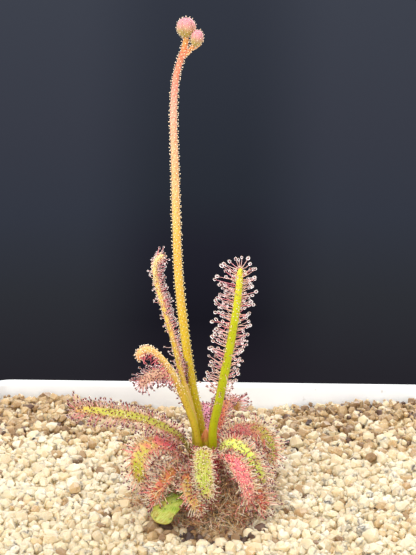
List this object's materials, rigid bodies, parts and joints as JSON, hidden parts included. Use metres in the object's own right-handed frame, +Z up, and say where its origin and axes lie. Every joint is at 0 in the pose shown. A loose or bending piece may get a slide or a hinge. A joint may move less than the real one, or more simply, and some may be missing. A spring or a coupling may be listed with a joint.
{
  "type": "potted sundew plant",
  "caption": "Sundew in flower: arched leaves set with gland-tipped tentacles and one tall flower stalk, growing in quartz grit in a square white pot.",
  "frame": {"origin": "centre of the pot's underside, which is also the bottom centre of the whole part's box", "axes": "+Z up along the flower stalk, +X to the right and +Y to the back when the plant's broad front leaf faces the viewer"},
  "size_m": [0.1404, 0.1404, 0.1691],
  "materials": {
    "pot_plastic": "white moulded polypropylene, glossy",
    "quartz_grit": "cream and clear quartz grains, damp sheen",
    "crown_tissue": "reddish brown living plant tissue",
    "stalk": "golden to coral stem with fine gland hairs",
    "bud": "pink flower bud, velvety",
    "leaf_green": "yellow-green translucent leaf with red tentacles",
    "leaf_gold": "golden young leaf with pale tentacles",
    "leaf_red": "coral to wine red leaf with red tentacles",
    "leaf_dead": "dry brown leaf, matted"
  },
  "bodies": {
    "root": {"pot": "pot_plastic", "grit": "quartz_grit", "crown": "crown_tissue", "flower_stalk": "stalk", "bud_large": "bud", "bud_small": "bud", "leaf_tall_right": "leaf_green", "leaf_tall_left": "leaf_gold", "leaf_crozier": "leaf_gold", "leaf_reaching_left": "leaf_green", "leaf_front": "leaf_green", "leaf_low_left": "leaf_red", "leaf_front_right": "leaf_red", "leaf_low_right": "leaf_green", "leaf_far_right": "leaf_red", "leaf_back_left": "leaf_red", "leaf_back_right": "leaf_red", "leaf_back": "leaf_red", "leaf_under_left": "leaf_red", "leaf_front_left": "leaf_red", "leaf_under_right": "leaf_red", "leaf_far_1": "leaf_red", "leaf_far_2": "leaf_red", "leaf_far_3": "leaf_red", "leaf_far_4": "leaf_red", "leaf_dead_1": "leaf_dead", "leaf_dead_2": "leaf_dead", "leaf_dead_3": "leaf_dead", "leaf_dead_4": "leaf_dead", "leaf_dead_5": "leaf_dead", "leaf_dead_6": "leaf_dead", "leaf_dead_7": "leaf_dead", "leaf_dead_8": "leaf_dead", "leaf_broad": "leaf_green"}
  },
  "joints": []
}
